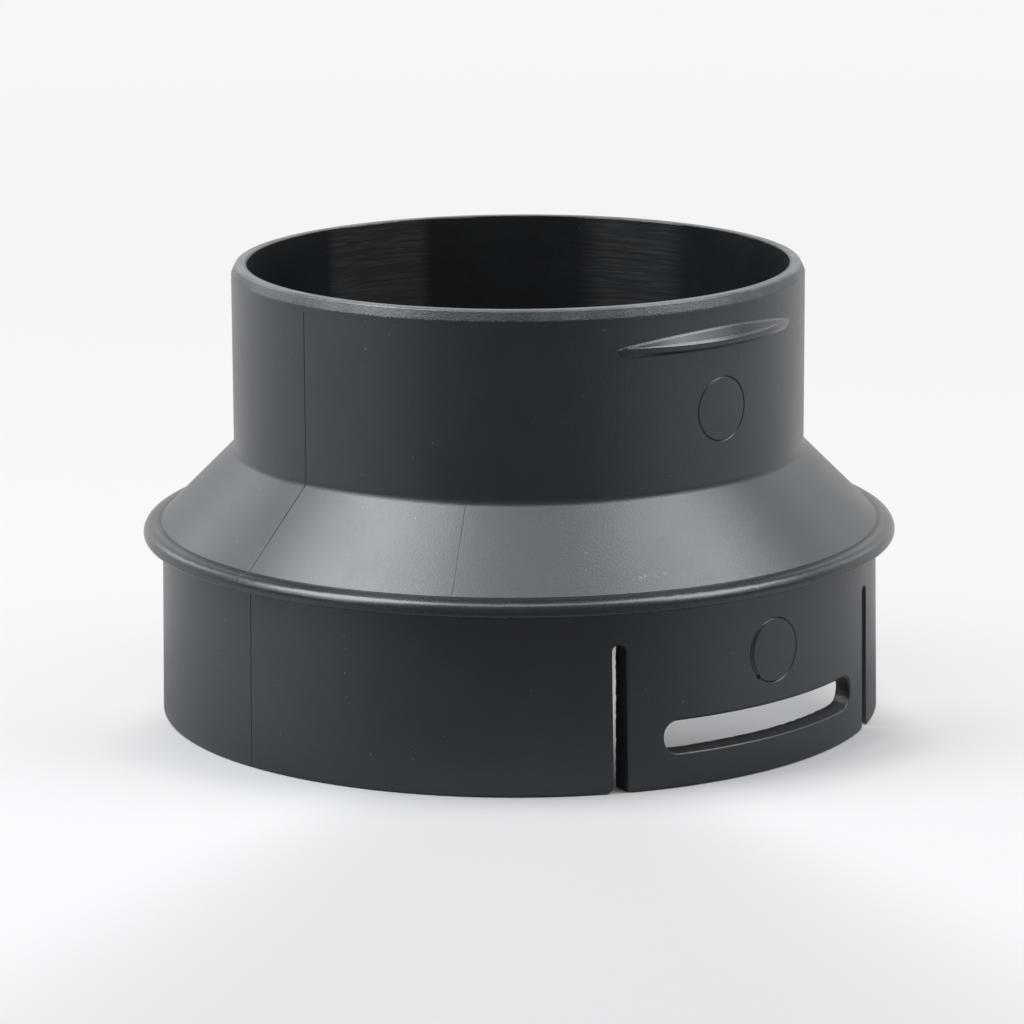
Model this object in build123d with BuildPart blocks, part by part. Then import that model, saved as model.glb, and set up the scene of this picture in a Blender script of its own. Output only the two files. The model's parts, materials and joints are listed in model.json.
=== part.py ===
from build123d import *
from math import cos, radians, sqrt, tan
import os

# A push-fit reducer for round air ducts, moulded in one piece. It stands on its wide
# mouth, with the origin at the mouth's centre, +Z up the duct axis and a latch facing -Y.
# All sizes are in millimetres.

# Wide end: a socket that snaps over the end of the larger duct
socket_diameter = 90.0      # inside
socket_wall = 2.06
skirt_flare = 0.35          # how much wider the outside is at the mouth, in radius
skirt_height = 23.35        # from the mouth to the underside of the bead

# Bead round the foot of the cone
bead_overhang = 2.54
bead_thickness = 2.06
bead_nose = 1.0             # reach of the bead's rounded edge

# Cone
cone_angle = 45.0           # from the duct axis
cone_spread = 0.29          # how far its foot stands out from the skirt, in radius
cone_wall = 2.0
cone_round = 1.5            # hollow round where the cone meets the spigot

# Narrow end: a spigot that goes into the smaller duct
spigot_diameter = 75.0      # outside
spigot_wall = 2.0
spigot_height = 24.2        # from the top of the cone to the rim
rim_round_width = 0.8       # round between the rim and the spigot's outside
rim_round_height = 1.4

# Latches, front and rear: a tab between two slots, with a window that takes a catch
slot_spacing = 44.26        # between the slots' centre lines
slot_width = 1.66
slot_bridge = 4.35          # wall left between a slot's top and the bead
slot_mouth_round = 1.1
window_length = 33.7
window_height = 4.09
window_sill = 4.4           # from the mouth to the window's lower edge

# Catches, front and rear: a lens-shaped ramp that a latch window drops over
catch_chord = 30.2          # from tip to tip
catch_reach = 1.2
catch_drop = 6.4            # from the rim to the catch's underside
catch_land = 0.98           # upright edge under the ramp
catch_ramp = 1.5            # height of the ramp above that edge

# Radii and heights that follow
socket_radius = socket_diameter / 2
skirt_radius = socket_radius + socket_wall
mouth_radius = skirt_radius + skirt_flare
bead_radius = skirt_radius + bead_overhang
bead_edge = bead_radius - bead_nose
bead_half = bead_thickness / 2
bead_middle = skirt_height + bead_half
bead_top = skirt_height + bead_thickness
spigot_radius = spigot_diameter / 2
bore_radius = spigot_radius - spigot_wall
cone_radius = skirt_radius + cone_spread
cone_slope = tan(radians(cone_angle))
cone_top = bead_top + (cone_radius - spigot_radius) / cone_slope
rim_height = cone_top + spigot_height
rim_shoulder = rim_height - rim_round_height
rim_edge = spigot_radius - rim_round_width

# The inside of the cone lies parallel to its outside, one wall in
inner_cone_radius = cone_radius - cone_wall / cos(radians(cone_angle))
socket_depth = bead_top + (inner_cone_radius - socket_radius) / cone_slope
bore_foot = bead_top + (inner_cone_radius - bore_radius) / cone_slope

# The catch's edge is an arc through both tips and the middle of the ridge
half_chord = catch_chord / 2
catch_bulge = spigot_radius + catch_reach - sqrt(spigot_radius**2 - half_chord**2)
catch_radius = (half_chord**2 + catch_bulge**2) / (2 * catch_bulge)
catch_centre = spigot_radius + catch_reach - catch_radius
catch_underside = rim_height - catch_drop
catch_ridge = catch_underside + catch_land
catch_top = catch_ridge + catch_ramp

slot_inner = slot_spacing / 2 - slot_width / 2
slot_outer = slot_spacing / 2 + slot_width / 2
slot_top = skirt_height - slot_bridge
slot_shoulder = slot_top - slot_width / 2
window_middle = window_sill + window_height / 2
upright = (Align.CENTER, Align.CENTER, Align.MIN)

# Both catches, each a slice of a disc that stands out of the spigot's wall
with BuildPart() as catches:
    for side in (1, -1):
        with BuildSketch(Plane.XZ.offset(side * catch_centre)):
            with BuildLine():
                Polyline(
                    (0, catch_underside),
                    (catch_radius, catch_underside),
                    (catch_radius, catch_ridge),
                    (catch_radius - catch_reach, catch_top),
                    (0, catch_top),
                    close=True,
                )
            make_face()
        revolve(axis=Axis((0, -side * catch_centre, 0), (0, 0, 1)))
    Cylinder(bore_radius, rim_height, align=upright, mode=Mode.SUBTRACT)

with BuildPart() as duct_reducer:
    # The wall's section, turned about the duct axis
    with BuildSketch(Plane.XZ) as section:
        with BuildLine():
            Polyline(
                (bead_edge, bead_top),
                (cone_radius, bead_top),
                (spigot_radius, cone_top),
                (spigot_radius, rim_shoulder),
            )
            TangentArc((spigot_radius, rim_shoulder), (rim_edge, rim_height), tangent=(0, 1))
            Polyline(
                (rim_edge, rim_height),
                (bore_radius, rim_height),
                (bore_radius, bore_foot),
                (socket_radius, socket_depth),
                (socket_radius, 0),
                (mouth_radius, 0),
                (skirt_radius, skirt_height),
                (bead_edge, skirt_height),
            )
            EllipticalCenterArc((bead_edge, bead_middle), bead_nose, bead_half, -90, arc_size=180)
        make_face()
        cone_corner = section.vertices().sort_by_distance((spigot_radius, cone_top, 0))[0]
        fillet(cone_corner, cone_round)
    revolve(axis=Axis.Z)

    add(catches.part)

    # Slots and windows of both latches, cut straight through from front to rear
    with BuildSketch(Plane.XZ):
        with BuildLine():
            CenterArc((slot_inner - slot_mouth_round, slot_mouth_round), slot_mouth_round, -90, 90)
            Line((slot_inner, slot_mouth_round), (slot_inner, slot_shoulder))
            CenterArc((slot_spacing / 2, slot_shoulder), slot_width / 2, 180, -180)
            Line((slot_outer, slot_shoulder), (slot_outer, slot_mouth_round))
            CenterArc((slot_outer + slot_mouth_round, slot_mouth_round), slot_mouth_round, 180, 90)
            Line((slot_outer + slot_mouth_round, 0), (slot_inner - slot_mouth_round, 0))
        make_face()
        mirror(about=Plane.YZ)
    extrude(amount=mouth_radius, both=True, mode=Mode.SUBTRACT)
    with BuildSketch(Plane.XZ):
        with Locations((0, window_middle)):
            SlotOverall(window_length, window_height)
    extrude(amount=mouth_radius, both=True, mode=Mode.SUBTRACT)

duct_reducer.part.label = "duct_reducer"
os.makedirs("parts", exist_ok=True)
export_step(duct_reducer.part, "parts/duct_reducer.step")
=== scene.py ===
import bpy
import bmesh
import json
from math import cos, pi, radians, sin, sqrt, tan
from mathutils import Matrix, Vector, noise


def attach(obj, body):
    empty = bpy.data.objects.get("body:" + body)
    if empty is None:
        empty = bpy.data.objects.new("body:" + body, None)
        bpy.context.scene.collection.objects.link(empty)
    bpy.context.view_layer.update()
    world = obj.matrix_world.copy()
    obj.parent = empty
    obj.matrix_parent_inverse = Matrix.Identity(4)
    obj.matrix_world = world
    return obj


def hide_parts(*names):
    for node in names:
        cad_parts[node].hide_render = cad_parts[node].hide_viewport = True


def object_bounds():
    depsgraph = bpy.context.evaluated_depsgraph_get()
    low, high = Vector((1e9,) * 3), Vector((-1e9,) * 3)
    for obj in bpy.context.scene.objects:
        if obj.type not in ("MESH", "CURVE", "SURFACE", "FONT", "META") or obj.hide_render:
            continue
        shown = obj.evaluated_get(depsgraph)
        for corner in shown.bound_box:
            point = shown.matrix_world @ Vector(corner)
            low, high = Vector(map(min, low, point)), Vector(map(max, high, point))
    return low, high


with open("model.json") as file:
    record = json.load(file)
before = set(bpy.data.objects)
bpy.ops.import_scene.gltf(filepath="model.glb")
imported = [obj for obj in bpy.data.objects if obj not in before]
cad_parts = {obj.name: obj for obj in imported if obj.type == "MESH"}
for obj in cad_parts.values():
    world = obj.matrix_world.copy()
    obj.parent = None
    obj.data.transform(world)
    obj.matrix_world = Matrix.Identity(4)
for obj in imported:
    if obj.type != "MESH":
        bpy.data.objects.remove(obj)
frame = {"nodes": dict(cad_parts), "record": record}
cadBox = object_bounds()
mounts = {mount["name"]: mount for mount in frame["record"]["mounts"]}
socketMount = mounts["socket"]["dims"]
spigotMount = mounts["spigot"]["dims"]
mm = 0.001
print("frame loaded:", ", ".join(frame["nodes"]))


class Wire:
    # one output of a node, so that node maths reads as a Python expression
    def __init__(self, nodes, socket):
        self.nodes = nodes
        self.socket = socket

    def out(self, name):
        return Wire(self.nodes, self.socket.node.outputs[name])

    def maths(self, operation, *terms):
        return self.nodes.add("ShaderNodeMath", {"operation": operation}, dict(enumerate(terms)))

    def __add__(self, other):
        return self.maths("ADD", self, other)

    def __sub__(self, other):
        return self.maths("SUBTRACT", self, other)

    def __rsub__(self, other):
        return self.maths("SUBTRACT", other, self)

    def __mul__(self, other):
        return self.maths("MULTIPLY", self, other)

    def __truediv__(self, other):
        return self.maths("DIVIDE", self, other)

    def __pow__(self, other):
        return self.maths("POWER", self, other)

    def __lt__(self, other):
        return self.maths("LESS_THAN", self, other)

    def __gt__(self, other):
        return self.maths("GREATER_THAN", self, other)

    def __abs__(self):
        return self.maths("ABSOLUTE", self)

    __radd__ = __add__
    __rmul__ = __mul__


class Nodes:
    def __init__(self, tree):
        self.tree = tree

    def add(self, kind, settings=None, sockets=None, out=0):
        node = self.tree.nodes.new(kind)
        for name, value in (settings or {}).items():
            setattr(node, name, value)
        for name, value in (sockets or {}).items():
            socket = node.inputs[name] if isinstance(name, int) else self.find(node, name)
            for item in value if isinstance(value, list) else [value]:
                if isinstance(item, Wire):
                    self.tree.links.new(item.socket, socket)
                else:
                    socket.default_value = item
        return Wire(self, node.outputs[out]) if len(node.outputs) else None

    def find(self, node, name):
        return next((s for s in node.inputs if s.identifier == name), None) or node.inputs[name]

    def step(self, value, low, high):
        # 0 below low, 1 above high, smooth between; a low above high runs the other way
        ends = {"Value": value, "From Min": min(low, high), "From Max": max(low, high)}
        slope = self.add("ShaderNodeMapRange", {"interpolation_type": "SMOOTHSTEP"}, ends)
        return slope if low < high else 1 - slope

    def blend(self, factor, first, second):
        return self.add("ShaderNodeMix", {"data_type": "RGBA"},
                        {"Factor_Float": factor, "A_Color": first, "B_Color": second}, out=2)


def geometryTree(name, inputs):
    tree = bpy.data.node_groups.new(name, "GeometryNodeTree")
    tree.interface.new_socket("Geometry", in_out="INPUT", socket_type="NodeSocketGeometry")
    for label, kind in inputs.items():
        tree.interface.new_socket(label, in_out="INPUT", socket_type="NodeSocket" + kind)
    tree.interface.new_socket("Geometry", in_out="OUTPUT", socket_type="NodeSocketGeometry")
    nodes = Nodes(tree)
    return nodes, nodes.add("NodeGroupInput")


def closeTree(nodes, geometry, material):
    whole = nodes.add("GeometryNodeRealizeInstances", {}, {"Geometry": geometry})
    painted = nodes.add("GeometryNodeSetMaterial", {}, {"Geometry": whole, "Material": material})
    nodes.add("NodeGroupOutput", {}, {"Geometry": painted})


def addObject(name, mesh):
    made = bpy.data.objects.new(name, mesh)
    bpy.context.scene.collection.objects.link(made)
    return made


def dropDoubled(mesh):
    # slivers of a boolean that folded flat leave two faces back to back; both go
    made = bmesh.new()
    made.from_mesh(mesh)
    first, doubled = {}, []
    for face in made.faces:
        corners = frozenset(face.verts)
        if corners in first:
            doubled += [face, first.pop(corners)]
        else:
            first[corners] = face
    if doubled:
        bmesh.ops.delete(made, geom=doubled, context="FACES")
        made.to_mesh(mesh)
    made.free()


def runTree(source, nodes, values, weighNormals=False):
    # the tree's result as a plain mesh; the source object goes
    modifier = source.modifiers.new("shape", "NODES")
    modifier.node_group = nodes.tree
    for item in nodes.tree.interface.items_tree:
        if item.in_out == "INPUT" and item.name in values:
            modifier[item.identifier] = values[item.name]
    if weighNormals:
        weigh = source.modifiers.new("normals", "WEIGHTED_NORMAL")
        weigh.keep_sharp = True
        weigh.weight = 100
    name = source.name
    graph = bpy.context.evaluated_depsgraph_get()
    mesh = bpy.data.meshes.new_from_object(
        source.evaluated_get(graph), preserve_all_data_layers=True, depsgraph=graph)
    bpy.data.objects.remove(source)
    dropDoubled(mesh)
    piece = addObject(name, mesh)
    piece.name = mesh.name = name
    return piece


def pathObject(name, points, closed, rounds=None):
    count = len(points)
    edges = [(i, (i + 1) % count) for i in range(count if closed else count - 1)]
    mesh = bpy.data.meshes.new(name)
    mesh.from_pydata(points, edges, [])
    if rounds:
        mesh.attributes.new("round", "FLOAT", "POINT").data.foreach_set("value", rounds)
    return addObject(name, mesh)


def shellObject(name, shells):
    # shells: (vertices, faces) of closed forms, in millimetres, that share one object
    made = bmesh.new()
    for points, faces in shells:
        corners = [made.verts.new(Vector(point) * mm) for point in points]
        for face in faces:
            made.faces.new([corners[i] for i in face])
    bmesh.ops.recalc_face_normals(made, faces=made.faces)
    mesh = bpy.data.meshes.new(name)
    made.to_mesh(mesh)
    made.free()
    return addObject(name, mesh)


def sweepFaces(rings, count, closed):
    # quads between rings of count points each; open sweeps get end caps
    faces = []
    for k in range(rings if closed else rings - 1):
        a, b = k * count, (k + 1) % rings * count
        for i in range(count):
            j = (i + 1) % count
            faces.append((a + i, b + i, b + j, a + j))
    if not closed:
        faces.append(tuple(range(count)))
        faces.append(tuple(reversed(range((rings - 1) * count, rings * count))))
    return faces


def roundedOutline(corners, steps, spacing=None):
    # a closed outline from corners (x, y, round), with long stretches divided by spacing
    arcs = []
    for i, (x, y, size) in enumerate(corners):
        here = Vector((x, y))
        back = (Vector(corners[i - 1][:2]) - here).normalized()
        ahead = (Vector(corners[(i + 1) % len(corners)][:2]) - here).normalized()
        half = back.angle(ahead) / 2
        middle = (back + ahead).normalized()
        centre = here + middle * size / sin(half)
        start = here + back * size / tan(half) - centre
        sweep = start.angle_signed(here + ahead * size / tan(half) - centre, 0) if size else 0
        count = steps if size else 0
        spins = [Matrix.Rotation(-sweep * k / max(count, 1), 2) for k in range(count + 1)]
        arcs.append([centre + spin @ start for spin in spins])
    points = []
    for i, arc in enumerate(arcs):
        points += arc
        gap = arcs[(i + 1) % len(arcs)][0] - arc[-1]
        pieces = int(gap.length / spacing) if spacing else 0
        points += [arc[-1] + gap * k / (pieces + 1) for k in range(1, pieces + 1)]
    return points


# Wall: one turned section. Sizes in millimetres; the CAD frame and its mounts give the main ones.
wall = {
    "socketRadius": socketMount["r_mm"], "socketWall": 2.06,
    "skirtHeight": 23.35, "skirtFlare": 0.35,
    "beadRadius": min((cadBox[1] - cadBox[0]).xy) / 2 / mm,
    "beadThickness": 2.06, "beadRound": (1.42, 0.6),             # fuller above than below
    "coneSpread": 0.29, "coneWall": 2.0, "coneLip": 0.1,
    "spigotRadius": spigotMount["r_mm"], "spigotWall": 2.0,
    "rimHeight": mounts["spigot"]["pos_m"][2] / mm, "rimBevel": (0.6, 1.35),
    "stepProud": 0.03, "stepSunk": 0.05, "stepFoot": 0.16, "stepEnd": 0.7,      # under the rim's bevel
    "axisRadius": 10.0, "turns": 288, "cornerSteps": 7, "sharpAbove": radians(38), "mergeWithin": 0.004,
}
skirtRadius = wall["socketRadius"] + wall["socketWall"]
mouthRadius = skirtRadius + wall["skirtFlare"]
beadTop = wall["skirtHeight"] + wall["beadThickness"]
coneRadius = skirtRadius + wall["coneSpread"]
coneTop = beadTop + coneRadius - wall["spigotRadius"]          # the cone stands at 45 degrees
boreRadius = wall["spigotRadius"] - wall["spigotWall"]
innerCone = coneRadius - wall["coneWall"] * sqrt(2)            # its inside lies one wall in
socketDepth = beadTop + innerCone - wall["socketRadius"]
boreFoot = beadTop + innerCone - boreRadius
rimHeight = wall["rimHeight"]
bevelIn, bevelDown = wall["rimBevel"]

# corners of the section: radius, height and round, up the inside and then down the outside
inside = [
    (wall["socketRadius"], 0, 0.25),
    (wall["socketRadius"], socketDepth, 0.4),
    (boreRadius, boreFoot, 3.5),
    (boreRadius, rimHeight, 0.1),
]
outside = [
    (wall["spigotRadius"] - bevelIn, rimHeight, 0.45),
    (wall["spigotRadius"] + wall["stepProud"], rimHeight - bevelDown, 0.5),
    (wall["spigotRadius"] - wall["stepSunk"], rimHeight - bevelDown - wall["stepFoot"], 0.1),
    (wall["spigotRadius"], rimHeight - bevelDown - wall["stepEnd"], 0.5),
    (wall["spigotRadius"], coneTop, 1.5),
    (coneRadius - wall["coneLip"], beadTop + wall["coneLip"], 0.15),
    (coneRadius - wall["coneLip"], beadTop, 0.06),
    (wall["beadRadius"], beadTop, wall["beadRound"][0]),
    (wall["beadRadius"], wall["skirtHeight"], wall["beadRound"][1]),
    (skirtRadius, wall["skirtHeight"], 0.3),
    (mouthRadius, 0, 0.35),
]
section = inside + outside


def skirtOutside(z):
    return mouthRadius - wall["skirtFlare"] * z / wall["skirtHeight"]


def spigotOutside(z):
    return wall["spigotRadius"]


# Latches: slots and windows as cutters that follow the skirt, with eased outer edges
latch = {
    "slotSpacing": 44.26, "slotWidth": 1.66, "slotTop": 19.0, "slotMouthRound": (1.1, 0.5),
    "windowLength": 33.7, "windowHeight": 4.09, "windowSill": 4.4,
    "edgeRound": 0.28, "edgeSteps": 5, "easedTurn": 72,          # the eased outer edge
    "slotEasing": (0.7, 0.7), "windowEasing": (1.0, 2.8),        # at the sides and at the upper edge
    "slotTaper": (0.2, 0.2), "windowTaper": (0, -0.26),          # at the sides and at the lower edge
    "ragged": 0.09, "raggedPitch": 1.37, "windowSeed": 4, "rearSeed": 10,       # the inner edge
    "straightDepth": 1.6, "plugFrom": -54, "plugTo": -28, "plugFlare": 4, "mouthReach": 3,
    "endShare": 0.98, "slotSteps": 8, "windowSteps": 12, "spacing": 0.5,
}


def cutter(outline, easing, taper, seed):
    # a plug through the wall: straight along Y, flared where it leaves the skirt's outside
    rings = [(latch["plugFlare"], None, latch["plugFrom"], False)]
    for k in range(latch["edgeSteps"] + 1):
        turn = radians(latch["easedTurn"]) * (1 - k / latch["edgeSteps"])
        rings.append((1 - cos(turn), 1 - sin(turn), None, False))
    rings += [(0, latch["straightDepth"], None, True), (0, None, latch["plugTo"], True)]
    count = len(outline)
    points = []
    for offset, depth, flat, inner in rings:
        for i, point in enumerate(outline):
            along = (outline[(i + 1) % count] - outline[i - 1]).normalized()
            out = Vector((along.y, -along.x))
            size = latch["edgeRound"] * (easing[0] + (easing[1] - easing[0]) * max(0, out.y))
            push = offset * size
            if inner:
                push = taper[0] + (taper[1] - taper[0]) * max(0, -out.y)
                push += latch["ragged"] * noise.noise(Vector((i * latch["raggedPitch"], seed, depth or 0)))
            x, z = point + out * push
            y = flat if flat else (depth if inner else depth * size) - sqrt(skirtOutside(z) ** 2 - x * x)
            points.append((x, y, z))
    return points, sweepFaces(len(rings), count, closed=False)


def slotOutline(side):
    middle = side * latch["slotSpacing"] / 2
    half = latch["slotWidth"] / 2
    foot = latch["mouthReach"]
    flare = half + foot
    top, topRound = latch["slotTop"], half * latch["endShare"]
    rounds = latch["slotMouthRound"][::side]               # the tab's own corner is the tighter one
    corners = [
        (middle - flare, -foot, 0), (middle + flare, -foot, 0), (middle + flare, 0, 0),
        (middle + half, 0, rounds[0]), (middle + half, top, topRound),
        (middle - half, top, topRound), (middle - half, 0, rounds[1]), (middle - flare, 0, 0),
    ]
    return roundedOutline(corners, latch["slotSteps"], latch["spacing"])


def windowOutline():
    length, low = latch["windowLength"] / 2, latch["windowSill"]
    high = low + latch["windowHeight"]
    size = latch["windowHeight"] / 2 * latch["endShare"]
    corners = [(-length, low, size), (length, low, size), (length, high, size), (-length, high, size)]
    return roundedOutline(corners, latch["windowSteps"], latch["spacing"])


# Round marks of the mould's pins on the front of the skirt and the spigot, cut as fine grooves. Arcs are
# in degrees from the right, anticlockwise.
skirtMark = {"height": 15.55, "radius": 4.1, "outside": skirtOutside, "shift": -0.36}
pinMarks = [
    {**skirtMark, "width": 0.24, "depth": 0.13},
    {**skirtMark, "width": 0.34, "depth": 0.2, "arc": (118, 222), "shift": 0.04},
    {**skirtMark, "width": 0.6, "depth": 0.4, "arc": (222, 232), "radius": 4.12},
    {"height": 45.06, "radius": 4.1, "outside": spigotOutside, "width": 0.24, "depth": 0.13},
]
pinGroove = {"steps": 120, "lift": 0.4, "edge": 0.02, "aside": 0.02, "leastFade": 0.15, "fadePower": 0.6}


def markGroove(mark):
    start, end = mark.get("arc", (0, 360))
    closed = end - start == 360
    count, lift, edge = pinGroove["steps"], pinGroove["lift"], pinGroove["edge"]
    points = []
    for i in range(count):
        share = i / (count if closed else count - 1)
        turn = radians(start + (end - start) * share)
        fade = 1 if closed else max(pinGroove["leastFade"], sin(pi * share) ** pinGroove["fadePower"])
        half = mark["width"] / 2 * fade
        bottom = (pinGroove["aside"], mark["depth"] * fade)
        for offset, depth in ((-half, -lift), (half, -lift), (half, edge), bottom, (-half, edge)):
            x = (mark["radius"] + offset) * cos(turn) + mark.get("shift", 0)
            z = mark["height"] + (mark["radius"] + offset) * sin(turn)
            points.append((x, depth - sqrt(mark["outside"](z) ** 2 - x * x), z))
    return points, sweepFaces(count, len(points) // count, closed)


# Parting lines: fine grooves down the outside where the mould's halves met
parting = {
    "turn": -89.3, "width": 0.17, "depth": 0.09, "lift": 0.03, "below": 0.75, "spacing": 0.16, "steps": 6,
}


def partingGroove(turn):
    outline = roundedOutline(section, parting["steps"])
    line = [Vector((wall["spigotRadius"], rimHeight - bevelDown - parting["below"]))]
    first = max(i for i, p in enumerate(outline) if p.y > line[0].y)
    for point in outline[first + 1:]:
        if (point - line[-1]).length > parting["spacing"]:
            line.append(point)
    points = []
    for i, point in enumerate(line):
        ahead, back = line[min(i + 1, len(line) - 1)], line[max(i - 1, 0)]
        along = (ahead - back).normalized()
        out = Vector((-along.y, along.x))
        for across, depth in ((-0.5, -parting["lift"]), (0.5, -parting["lift"]), (0, parting["depth"])):
            place = point - out * depth
            x, y = across * parting["width"], -place.x
            points.append((x * cos(turn) - y * sin(turn), x * sin(turn) + y * cos(turn), place.y))
    return points, sweepFaces(len(line), 3, closed=False)


# Catches: lens-shaped pads on the spigot, thickest along the ridge, with a chamfered lip, a hollow ramp
# and an undercut. The rounds are shares of the edge round, from the underside up to the lip.
catch = {
    "tipTurn": radians(24.2), "reach": 1.16, "drop": 6.4, "land": 1.0, "height": 2.6, "rooted": 1.2,
    "lip": 0.24, "hollow": (0.6, 0.27), "undercut": (0.62, 0.08), "underStep": 0.45,
    "edgeRound": 0.2, "edgeSteps": 5, "rounds": (0.2, 0.6, 1.2, 1.4, 0.6),
    "tipFall": 1.35, "tipDrop": 0.2, "tipRise": 0.25, "tipSpread": 1.02, "endRound": 1.8,
    "leastClosing": 0.05, "leastLand": 0.05, "leastRamp": 0.04, "lipGap": 0.06, "steps": 140,
}


def catchShell():
    radius, tip = wall["spigotRadius"], catch["tipTurn"]
    base = rimHeight - catch["drop"]
    middle = base + catch["height"] - catch["tipFall"] - catch["tipDrop"]      # where the ends close to
    inner = radius - catch["rooted"]
    points = []
    for k in range(catch["steps"] + 1):
        turn = tip * sin(pi / 2 * (2 * k / catch["steps"] - 1))
        share = abs(turn) / tip
        toEnd = min(1, (1 - share) * tip * radius / catch["endRound"])
        closing = max(catch["leastClosing"], sqrt(1 - (1 - toEnd) ** 2))
        lip = catch["lip"] * closing
        proud = sqrt(lip**2 + max(0, catch["reach"] * (1 - (share * catch["tipSpread"]) ** 2)) ** 2)
        low = middle - (middle - base) * closing
        top = middle + (base + catch["height"] - catch["tipFall"] * share**2 - middle) * closing
        ridge = min(base + catch["land"] + catch["tipRise"] * share**2, top - lip - catch["lipGap"])
        ridge = max(low + catch["leastLand"], ridge)
        ramp = max(top - lip - ridge, catch["leastRamp"])
        size = catch["edgeRound"] * closing * min(1, ramp)
        out, rise = (proud - lip) * catch["hollow"][0], ramp * catch["hollow"][1]
        edges = [
            (radius + proud * (1 - catch["undercut"][0]), low),
            (radius + proud * (1 - catch["undercut"][1]), low + (ridge - low) * catch["underStep"]),
            (radius + proud, ridge), (radius + lip + out, ridge + rise), (radius + lip, ridge + ramp),
        ]
        corners = [(inner, low, 0)]
        corners += [(x, z, size * part) for (x, z), part in zip(edges, catch["rounds"])]
        corners.append((inner, top + radius - inner, 0))
        ring = roundedOutline(corners, catch["edgeSteps"])
        points += [(p.x * sin(turn), -p.x * cos(turn), p.y) for p in ring]
    return points, sweepFaces(catch["steps"] + 1, len(ring), closed=False)


def rear(shell):
    return [(-x, -y, z) for x, y, z in shell[0]], shell[1]


# Black plastic: a dark satin moulding with fine grain, painted highlight bands with fine streaks in the bore,
# painted shade in the bore, on the faces of the slots and windows and in the parting grooves, and a scraped
# rim.
# Sizes in millimetres.
plastic = {
    "dark": (0.0088, 0.0129, 0.0161, 1), "light": (0.0152, 0.0222, 0.0277, 1),
    "scraped": (0.105, 0.113, 0.119, 1), "deep": (0.003, 0.0036, 0.0042, 1), "dust": (0.30, 0.31, 0.32, 1),
    "specular": 0.85, "gleam": (0.94, 0.98, 1, 1), "ior": 1.49,
    "roughness": 0.36, "landPolish": 1.7, "polish": 0.07,
    "grainSize": 0.24, "mottleSize": 9, "frayedSize": 13, "wobbleSize": 2.5, "scuffSize": 0.5,
    "dustSpacing": 1.2, "dustRarity": 0.82, "cloudRoughness": 0.55,
    "ridgeStretch": (0.16, 0.16, 2.8), "scoreStretch": (6, 0.1, 1.2), "circleStretch": (6, 4, 0.12),
    "rimRagged": (0.5, 0.4), "wobble": 0.08, "underBead": 0.1, "aboveCone": 9,
    "witnessTurn": radians(-53.4), "scuffTurn": radians(-22), "scuffHeight": 27.1,
    # painted highlight bands in the bore, lighter where the lamps reflect: turn from the front, half their
    # width and their soft edge, in degrees
    "patches": [(170, 10, 4), (110, 5, 9)],
    # where a mask starts and where it is full: offsets from the edge that it follows, or noise values
    "edges": {
        "bore": (0.4, 0.15), "boreFoot": (0, 2), "rim": (-0.05, 0.3), "land": (-0.3, -0.05),
        "cutInner": (0.1, 0.25), "cutOuter": (0, -0.15), "bead": (0.2, 0.6), "catch": (0.05, 0.2),
        "seam": (0.13, 0.04), "wornFoot": (-0.3, 0.3), "wornTop": (5, 2),
        "coneFoot": (0, 0.5), "coneTop": (0, -0.5), "witness": (0.1, 0.02),
        "scuffAcross": (2.2, 1.4), "scuffUp": (0.32, 0.1), "dust": (0.07, 0.03),
        "frayed": (0.4, 0.6), "scuffed": (0.5, 0.62), "mottle": (0.3, 0.75), "grain": (0.35, 0.7),
        "ridges": (0.42, 0.62), "circles": (0.35, 0.65),
    },
    # how much of each shows
    "lighter": {"mottle": 0.5, "grain": 0.4},
    "scrapes": {"rim": 0.04, "frayed": 0.3, "grain": 0.12, "frayedGrain": 0.35,
                "lathed": 0.36, "ridges": 0.34, "land": 0.6, "scuff": 0.7, "seam": 0.5},
    # painted shade in the parting grooves, on the faces of the slots and windows and in the bore; the witness
    # line's own dark
    "darkens": {"seam": 0.85, "witness": 0.8, "cut": 0.85, "bore": 0.6},
    "dustShows": 0.8,
    "roughens": {"grain": 0.16, "mottle": 0.1, "rim": 0.08, "cut": 0.2},
    "depths": {"grain": 0.028, "rimGrain": 0.8, "ridges": 0.06, "bore": 0.25, "lathed": 0.75,
               "scores": 0.06, "circles": 0.05, "witness": 0.03},
}


def around(place, ends):
    return [place + end for end in ends]


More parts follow.
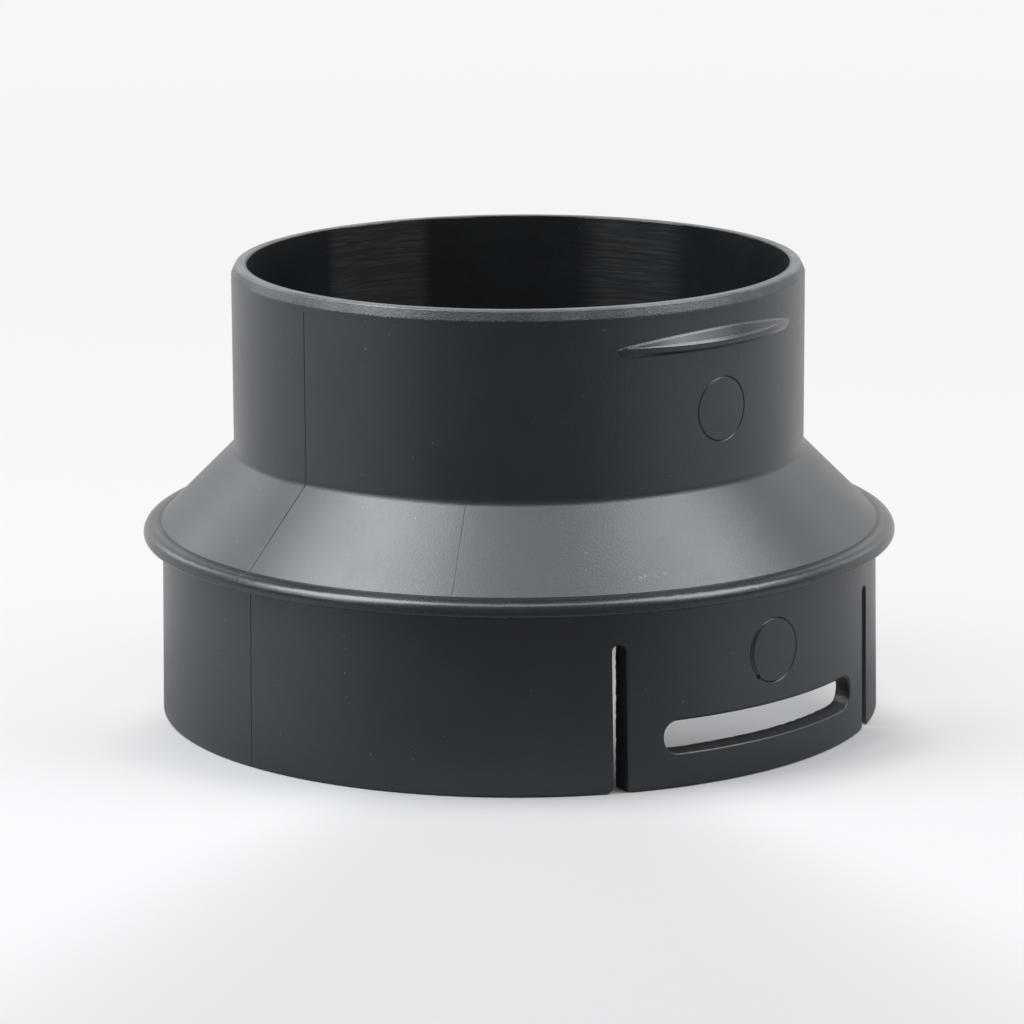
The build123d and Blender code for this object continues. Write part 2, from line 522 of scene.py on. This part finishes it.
def blackPlastic(name, scraped):
    material = bpy.data.materials.new(name)
    material.use_nodes = True
    material.node_tree.nodes.clear()
    nodes = Nodes(material.node_tree)
    place = nodes.add("ShaderNodeTexCoord", out="Object")
    inMm = nodes.add("ShaderNodeVectorMath", {"operation": "SCALE"}, {"Vector": place, "Scale": 1 / mm})
    split = nodes.add("ShaderNodeSeparateXYZ", {}, {"Vector": inMm})
    x, y, z = split.out("X"), split.out("Y"), split.out("Z")
    radius = (x * x + y * y) ** 0.5
    edges = plastic["edges"]

    def cloud(size, detail, stretch=None):
        vector = inMm
        if stretch:
            vector = nodes.add("ShaderNodeVectorMath", {"operation": "MULTIPLY"}, {0: inMm, 1: stretch})
        return nodes.add("ShaderNodeTexNoise", {}, {
            "Vector": vector, "Scale": 1 / size, "Detail": detail, "Roughness": plastic["cloudRoughness"]})

    def across(turn):
        # distance from the upright plane through the axis at this turn from the front
        return abs(x * cos(turn) + y * sin(turn))

    def towards(turn):
        return x * sin(turn) - y * cos(turn)

    grain = cloud(plastic["grainSize"], 3)
    mottle = cloud(plastic["mottleSize"], 3)
    ridges = cloud(1, 2, plastic["ridgeStretch"])
    scores = cloud(1, 2, plastic["scoreStretch"])
    speckle = nodes.step(grain, *edges["grain"])
    grainSwing, mottleSwing = grain - 0.5, mottle - 0.5          # about the noise's middle

    # the bore's wall, the scraped rim with its flat land, and the faces of the slots and windows; the bore
    # and these faces get painted shade
    bore = nodes.step(radius, *around(boreRadius, edges["bore"]))
    bore = bore * nodes.step(z, *around(boreFoot, edges["boreFoot"]))
    shell = 1 - bore
    ragged = grainSwing * plastic["rimRagged"][0] + mottleSwing * plastic["rimRagged"][1]
    rim = nodes.step(z + ragged, *around(rimHeight - bevelDown, edges["rim"])) * shell
    frayed = nodes.step(cloud(plastic["frayedSize"], 2), *edges["frayed"])
    land = nodes.step(z, *around(rimHeight, edges["land"])) * shell
    out, rise, along = plastic["circleStretch"]
    circled = nodes.add("ShaderNodeCombineXYZ", {}, {"X": radius * out, "Y": z * rise, "Z": (x + y) * along})
    circles = nodes.add("ShaderNodeTexNoise", {}, {"Vector": circled, "Scale": 1.0, "Detail": 2})
    cutFace = nodes.step(radius, *around(wall["socketRadius"], edges["cutInner"]))
    cutFace = cutFace * nodes.step(radius, *around(skirtRadius, edges["cutOuter"])) * (z < latch["slotTop"])

    # smoother on the bead and the catches
    bead = nodes.step(radius, *around(coneRadius, edges["bead"]))
    bead = bead * (z > wall["skirtHeight"] - plastic["underBead"])
    pads = nodes.step(radius, *around(wall["spigotRadius"], edges["catch"]))
    pads = pads * (z > coneTop + plastic["aboveCone"])
    polished = bead + pads

    # painted highlight: lighter bands on the bore where the lamps reflect, with streaks bumped into them
    lathed = sum(nodes.step(towards(radians(turn)) / radius, cos(radians(half + soft)), cos(radians(half)))
                 for turn, half, soft in plastic["patches"])
    lathed = lathed * bore

    # parting lines, with painted shade in their grooves and worn light over the bead, and a witness line on
    # the cone
    wobble = (cloud(plastic["wobbleSize"], 1) - 0.5) * plastic["wobble"]
    seam = nodes.step(across(radians(parting["turn"])) + wobble, *edges["seam"]) * shell
    worn = nodes.step(z, *around(wall["skirtHeight"], edges["wornFoot"]))
    worn = worn * nodes.step(z, *around(beadTop, edges["wornTop"]))
    turn = plastic["witnessTurn"]
    onCone = nodes.step(z, *around(beadTop, edges["coneFoot"]))
    onCone = onCone * nodes.step(z, *around(coneTop, edges["coneTop"]))
    witness = nodes.step(across(turn) + wobble, *edges["witness"]) * onCone * (towards(turn) > 0)

    # a scuff low on the cone
    turn = plastic["scuffTurn"]
    scuff = nodes.step(across(turn), *edges["scuffAcross"])
    scuff = scuff * nodes.step(abs(z - plastic["scuffHeight"]), *edges["scuffUp"])
    scuff = scuff * nodes.step(cloud(plastic["scuffSize"], 2), *edges["scuffed"]) * (towards(turn) > 0)

    # specks of dust
    cells = nodes.add("ShaderNodeTexVoronoi", {}, {"Vector": inMm, "Scale": 1 / plastic["dustSpacing"]})
    chosen = nodes.add("ShaderNodeSeparateColor", {}, {"Color": cells.out("Color")}) > plastic["dustRarity"]
    dust = nodes.step(cells, *edges["dust"]) * chosen

    share = plastic["lighter"]
    tone = nodes.step(mottle, *edges["mottle"]) * share["mottle"] + speckle * share["grain"]
    colour = nodes.blend(tone, plastic["dark"], plastic["light"])
    share = plastic["scrapes"]
    flecks = speckle * (share["grain"] + frayed * share["frayedGrain"])
    scrape = rim * (share["rim"] + frayed * share["frayed"] + flecks)
    # the bore's bands are a painted highlight
    scrape = scrape + lathed * (share["lathed"] + nodes.step(ridges, *edges["ridges"]) * share["ridges"])
    scrape = scrape + land * nodes.step(circles, *edges["circles"]) * share["land"]
    scrape = scrape + scuff * share["scuff"] + seam * worn * share["seam"]
    colour = nodes.blend(scrape + scraped, colour, plastic["scraped"])
    share = plastic["darkens"]
    # painted shade in the parting grooves, on the faces of the slots and windows and in the bore, with the
    # witness line's own dark
    shade = seam * (1 - worn) * share["seam"] + witness * share["witness"]
    shade = shade + cutFace * share["cut"] + bore * share["bore"]
    colour = nodes.blend(shade, colour, plastic["deep"])
    colour = nodes.blend(dust * plastic["dustShows"], colour, plastic["dust"])

    share = plastic["roughens"]
    rough = plastic["roughness"] + grainSwing * share["grain"] + mottleSwing * share["mottle"]
    rough = rough + (rim - land * plastic["landPolish"]) * share["rim"]
    rough = rough + (cutFace + witness) * share["cut"] - polished * plastic["polish"]
    depth = plastic["depths"]
    height = grain * depth["grain"] * (shell - polished + rim * depth["rimGrain"])
    height = height + ridges * depth["ridges"] * (bore * depth["bore"] + lathed * depth["lathed"])
    height = height + scores * depth["scores"] * cutFace
    height = height + circles * depth["circles"] * land - witness * depth["witness"]
    bump = nodes.add("ShaderNodeBump", {}, {"Height": height, "Distance": mm, "Strength": 1.0})
    shader = nodes.add("ShaderNodeBsdfPrincipled", {}, {
        "Base Color": colour, "Roughness": rough, "Normal": bump,
        "Specular IOR Level": plastic["specular"], "Specular Tint": plastic["gleam"], "IOR": plastic["ior"],
    })
    nodes.add("ShaderNodeOutputMaterial", {}, {"Surface": shader})
    return material


# Wall tree: rounds the section's corners, turns it, adds the catches and takes out the cutters
def wallTree():
    nodes, given = geometryTree("turned wall", {
        "Axis Radius": "Float", "Turns": "Int", "Corner Steps": "Int",
        "Sharp Above": "Float", "Merge Within": "Float",
        "Catches": "Object", "Cutters": "Object", "Fine Cutters": "Object", "Material": "Material",
    })
    outline = nodes.add("GeometryNodeMeshToCurve", {}, {"Mesh": given.out("Geometry")})
    corner = nodes.add("GeometryNodeInputNamedAttribute", {"data_type": "FLOAT"}, {"Name": "round"})
    rounded = nodes.add("GeometryNodeFilletCurve", {"mode": "POLY"}, {
        "Curve": outline, "Count": given.out("Corner Steps"), "Radius": corner, "Limit Radius": True})
    upright = nodes.add("GeometryNodeTransform", {}, {"Geometry": rounded, "Rotation": (pi, 0, 0)})
    ring = nodes.add("GeometryNodeCurvePrimitiveCircle", {}, {
        "Resolution": given.out("Turns"), "Radius": given.out("Axis Radius")})
    turned = nodes.add("GeometryNodeCurveToMesh", {}, {"Curve": ring, "Profile Curve": upright})
    catches = nodes.add("GeometryNodeObjectInfo", {}, {"Object": given.out("Catches")}).out("Geometry")
    cutters = [nodes.add("GeometryNodeObjectInfo", {}, {"Object": given.out(name)}).out("Geometry")
               for name in ("Cutters", "Fine Cutters")]
    joined = nodes.add("GeometryNodeMeshBoolean", {"operation": "UNION", "solver": "MANIFOLD"},
                       {"Mesh 2": [turned, catches]})
    cut = nodes.add("GeometryNodeMeshBoolean", {"operation": "DIFFERENCE", "solver": "MANIFOLD"},
                    {"Mesh 1": joined, "Mesh 2": cutters})
    threes = nodes.add("GeometryNodeTriangulate", {}, {"Mesh": cut})
    clean = nodes.add("GeometryNodeMergeByDistance", {}, {
        "Geometry": threes, "Distance": given.out("Merge Within")})
    smooth = nodes.add("GeometryNodeSetShadeSmooth", {"domain": "FACE"}, {
        "Geometry": clean, "Shade Smooth": True})
    angle = nodes.add("GeometryNodeInputMeshEdgeAngle")
    creased = nodes.add("GeometryNodeSetShadeSmooth", {"domain": "EDGE"}, {
        "Geometry": smooth, "Selection": angle > given.out("Sharp Above"), "Shade Smooth": False})
    closeTree(nodes, creased, given.out("Material"))
    return nodes


axisRadius = wall["axisRadius"]
body = pathObject("moulding", [((r - axisRadius) * mm, z * mm, 0) for r, z, size in section], True,
                  [size * mm for r, z, size in section])
catches = shellObject("catches", [catchShell(), rear(catchShell())])
cuts = []
openings = [("slot", slotOutline(1), 0), ("slot", slotOutline(-1), 1)]
openings.append(("window", windowOutline(), latch["windowSeed"]))
for kind, outline, seed in openings:
    easing, taper = latch[kind + "Easing"], latch[kind + "Taper"]
    cuts.append(cutter(outline, easing, taper, seed))
    cuts.append(rear(cutter(outline, easing, taper, seed + latch["rearSeed"])))
cuts += [markGroove(mark) for mark in pinMarks if "arc" not in mark]
cuts += [partingGroove(radians(parting["turn"] + half)) for half in (0, 180)]
cutters = shellObject("cutters", cuts)
fineCutters = shellObject("fine cutters", [markGroove(mark) for mark in pinMarks if "arc" in mark])
satinBlack = blackPlastic("satin black plastic", 0.0)
body = runTree(body, wallTree(), {
    "Axis Radius": axisRadius * mm, "Turns": wall["turns"], "Corner Steps": wall["cornerSteps"],
    "Sharp Above": wall["sharpAbove"], "Merge Within": wall["mergeWithin"] * mm,
    "Catches": catches, "Cutters": cutters, "Fine Cutters": fineCutters, "Material": satinBlack,
}, weighNormals=True)
for tool in (catches, cutters, fineCutters):
    bpy.data.objects.remove(tool)
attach(body, "root")
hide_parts("duct_reducer")
print("moulding:", len(body.data.vertices), "points,", len(body.data.polygons), "faces")


# Burr: a ragged thread that trimming left on the rim's inner edge, thicker in places. Sizes in millimetres.
burr = {
    "thickness": 0.06, "wander": 0.1, "spacing": 0.3, "below": 0.17, "inset": 0.03, "scraped": 0.45,
    "driftScale": 900.0, "patchScale": 130.0, "patchFrom": (0.42, 0.62), "thinnest": 0.35, "swell": 2.2,
    "sides": 7, "ringPoints": 360,
}


def burrTree():
    nodes, given = geometryTree("ragged thread", {
        "Spacing": "Float", "Thickness": "Float", "Wander": "Float", "Material": "Material"})
    edge = nodes.add("GeometryNodeMeshToCurve", {}, {"Mesh": given.out("Geometry")})
    thread = nodes.add("GeometryNodeResampleCurve", {"mode": "LENGTH"},
                       {"Curve": edge, "Length": given.out("Spacing")})
    place = nodes.add("GeometryNodeInputPosition")
    drift = nodes.add("ShaderNodeTexNoise", {}, {
        "Vector": place, "Scale": burr["driftScale"], "Detail": 2.0})
    patches = nodes.add("ShaderNodeTexNoise", {}, {"Vector": place, "Scale": burr["patchScale"]})
    patches = nodes.step(patches, *burr["patchFrom"])
    centred = nodes.add("ShaderNodeVectorMath", {"operation": "SUBTRACT"}, {
        0: drift.out("Color"), 1: (0.5, 0.5, 0.5)})
    offset = nodes.add("ShaderNodeVectorMath", {"operation": "SCALE"}, {
        0: centred, "Scale": given.out("Wander")})
    moved = nodes.add("GeometryNodeSetPosition", {}, {"Geometry": thread, "Offset": offset})
    rod = nodes.add("GeometryNodeCurvePrimitiveCircle", {}, {
        "Resolution": burr["sides"], "Radius": given.out("Thickness")})
    tube = nodes.add("GeometryNodeCurveToMesh", {}, {
        "Curve": moved, "Profile Curve": rod, "Scale": burr["thinnest"] + patches * drift * burr["swell"]})
    smooth = nodes.add("GeometryNodeSetShadeSmooth", {"domain": "FACE"}, {
        "Geometry": tube, "Shade Smooth": True})
    closeTree(nodes, smooth, given.out("Material"))
    return nodes


edgeRadius = boreRadius + burr["inset"]
turns = [radians(360 * k / burr["ringPoints"]) for k in range(burr["ringPoints"])]
ring = [Vector((edgeRadius * cos(turn), edgeRadius * sin(turn), rimHeight - burr["below"])) * mm
        for turn in turns]
thread = runTree(pathObject("rimBurr", ring, True), burrTree(), {
    "Spacing": burr["spacing"] * mm, "Thickness": burr["thickness"] * mm, "Wander": burr["wander"] * mm,
    "Material": blackPlastic("scraped black plastic", burr["scraped"]),
})
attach(thread, "root")
print("rim burr:", len(thread.data.polygons), "faces")


# Camera: where the photograph was taken from. Sizes in millimetres, angles in degrees.
lens = {
    "azimuth": -43.3, "elevation": 14.973, "distance": 655.34, "focal": 172.5, "sensor": 36, "nearest": 10,
    "tilt": 2.186, "swing": 0.0824, "roll": 0.2632,
}
side = radians(lens["azimuth"])
rise = radians(lens["elevation"])
outward = Vector((sin(side) * cos(rise), -cos(side) * cos(rise), sin(rise)))
look = -outward
right = look.cross(Vector((0, 0, 1))).normalized()
up = right.cross(look)
for name in ("tilt", "swing"):
    spin = Matrix.Rotation(radians(lens[name]), 3, right if name == "tilt" else up)
    look, right, up = spin @ look, spin @ right, spin @ up
spin = Matrix.Rotation(radians(lens["roll"]), 3, look)
right, up = spin @ right, spin @ up
camera = bpy.data.cameras.new("camera")
camera.lens = lens["focal"]
camera.sensor_width = lens["sensor"]
camera.clip_start = lens["nearest"] * mm
eye = bpy.data.objects.new("camera", camera)
bpy.context.scene.collection.objects.link(eye)
facing = Matrix((right, up, -look)).transposed().to_4x4()
eye.matrix_world = Matrix.Translation(outward * lens["distance"] * mm) @ facing
bpy.context.scene.camera = eye

# Studio: a softbox of three strips to the left and to the right, one strip overhead, a low one behind
# each side, and a pale sheet with a darker table before it, with a painted shadow on the sheet in front of
# the part. Lengths in metres.
studio = {
    # a strip runs from one direction to another: turn from the camera's side and rise, in degrees
    "strips": [
        {"name": "left box top", "start": (-50, 63), "end": (-116, 63), "width": 0.25, "power": 3.2},
        {"name": "left box", "start": (-54, 47), "end": (-106, 47), "width": 0.25, "power": 3.5},
        {"name": "left box foot", "start": (-52, 31), "end": (-96, 31), "width": 0.25, "power": 1.3},
        {"name": "right box top", "start": (54, 63), "end": (120, 63), "width": 0.25, "power": 1.85},
        {"name": "right box", "start": (60, 47), "end": (110, 47), "width": 0.25, "power": 2.8},
        {"name": "right box foot", "start": (58, 32), "end": (98, 32), "width": 0.25, "power": 0.55},
        {"name": "overhead", "start": (-40, 73), "end": (40, 73), "width": 0.3, "power": 1.05},
        {"name": "low left strip", "start": (-121, 38), "end": (-140, 18), "width": 0.22, "power": 0.58},
        {"name": "low right strip", "start": (121, 38), "end": (140, 18), "width": 0.22, "power": 0.22},
    ],
    "away": 0.9, "lampColour": (0.95, 0.975, 1), "floorSize": 4.0,
    # the floor: what lights the part, what the camera sees, and how dark the painted shadow in front of the
    # part is
    "paper": (0.45, 0.452, 0.456, 1), "table": (0.16, 0.16, 0.163, 1),
    "shownPaper": (0.585, 0.587, 0.592, 1), "glow": (0.935, 0.942, 0.955, 1),
    "frontShade": 0.22, "glowNear": 0.45, "glowSide": 0.32, "glowFar": 0.97,
    # where each starts and is full: by direction, 1 being towards the camera, or by distance from the axis
    "tableFrom": (0.5, 0.98), "frontFrom": (0.84, 0.98), "sideFrom": (0.5, -0.05), "backFrom": (-0.3, -0.8),
    "tableReach": (0.035, 0.085), "farFrom": (0.1, 0.7), "glowFrom": (0.0468, 0.062), "sideCloser": 0.011,
    # the backdrop and the room
    "room": 0.21, "backdrop": 0.93, "roomColour": (0.98, 0.99, 1, 1),
    "sweepFrom": (0.0, 0.6), "sweepTop": (0.75, 0.4),
}


def fromCamera(turn, rise):
    angle, height = side + radians(turn), radians(rise)
    return Vector((sin(angle) * cos(height), -cos(angle) * cos(height), sin(height)))


for strip in studio["strips"]:
    start, end = (fromCamera(*strip[name]) * studio["away"] for name in ("start", "end"))
    middle = (start + end) / 2
    facing = middle.normalized()
    along = (end - start).normalized()
    light = bpy.data.lights.new(strip["name"], "AREA")
    light.shape = "RECTANGLE"
    light.size, light.size_y = (end - start).length, strip["width"]
    light.energy = strip["power"]
    light.color = studio["lampColour"]
    lamp = bpy.data.objects.new(strip["name"], light)
    bpy.context.scene.collection.objects.link(lamp)
    turned = Matrix((along, facing.cross(along).normalized(), facing)).transposed().to_4x4()
    lamp.matrix_world = Matrix.Translation(middle) @ turned

floorMesh = bpy.data.meshes.new("floor")
reach = studio["floorSize"]
corners = [(-reach, -reach, 0), (reach, -reach, 0), (reach, reach, 0), (-reach, reach, 0)]
floorMesh.from_pydata(corners, [], [(0, 1, 2, 3)])
floor = addObject("floor", floorMesh)
paper = bpy.data.materials.new("pale paper")
paper.use_nodes = True
paper.node_tree.nodes.clear()
nodes = Nodes(paper.node_tree)
seen = nodes.add("ShaderNodeLightPath")
split = nodes.add("ShaderNodeSeparateXYZ", {}, {"Vector": nodes.add("ShaderNodeTexCoord", out="Object")})
x, y = split.out("X"), split.out("Y")
distance = (x * x + y * y) ** 0.5
ahead = (x * sin(side) - y * cos(side)) / (distance + mm)
gloss = seen.out("Is Glossy Ray")
table = nodes.step(ahead, *studio["tableFrom"]) * nodes.step(distance, *studio["tableReach"])
# painted shadow: the sheet and its glow are darker in front of the part, standing in for its soft shadow
front = nodes.step(ahead, *studio["frontFrom"]) * studio["frontShade"]
shown = nodes.blend(front, studio["shownPaper"], studio["table"])
sheet = nodes.add("ShaderNodeBsdfDiffuse", {}, {
    "Color": nodes.blend(seen, nodes.blend(table, studio["paper"], studio["table"]), shown)})
glow = nodes.add("ShaderNodeEmission", {}, {
    "Color": nodes.blend(front, studio["glow"], studio["table"]), "Strength": 1.0})
wide = studio["glowFar"]
far = nodes.step(distance, *studio["farFrom"])
back = nodes.step(ahead, *studio["backFrom"])
beside = nodes.step(ahead, *studio["sideFrom"])
near = studio["glowNear"] + beside * studio["glowSide"]
clear = nodes.step(distance + beside * studio["sideCloser"], *studio["glowFrom"])  # leaves the contact shadow
share = seen * (clear * near * (1 - far) + far * wide)
share = share + gloss * wide * (far * (1 - table) * (1 - back) + back)
mixed = nodes.add("ShaderNodeMixShader", {}, {0: share, 1: sheet, 2: glow})
nodes.add("ShaderNodeOutputMaterial", {}, {"Surface": mixed})
floorMesh.materials.append(paper)

world = bpy.data.worlds.new("sweep")
bpy.context.scene.world = world
world.use_nodes = True
world.node_tree.nodes.clear()
nodes = Nodes(world.node_tree)
seen = nodes.add("ShaderNodeLightPath")
gloss = seen.out("Is Glossy Ray")
direction = nodes.add("ShaderNodeTexCoord", out="Generated")
behind = nodes.add("ShaderNodeVectorMath", {"operation": "DOT_PRODUCT"},
                   {0: direction, 1: (-sin(side), cos(side), 0)}, out="Value")
rising = nodes.add("ShaderNodeSeparateXYZ", {}, {"Vector": direction}).out("Z")
sweep = nodes.step(behind, *studio["sweepFrom"]) * nodes.step(rising, *studio["sweepTop"])
level = (seen + gloss * sweep) * (studio["backdrop"] - studio["room"]) + studio["room"]
backdrop = nodes.add("ShaderNodeBackground", {}, {"Color": studio["roomColour"], "Strength": level})
nodes.add("ShaderNodeOutputWorld", {}, {"Surface": backdrop})
bpy.context.scene.view_settings.view_transform = "Standard"
print("camera, lights and floor set")
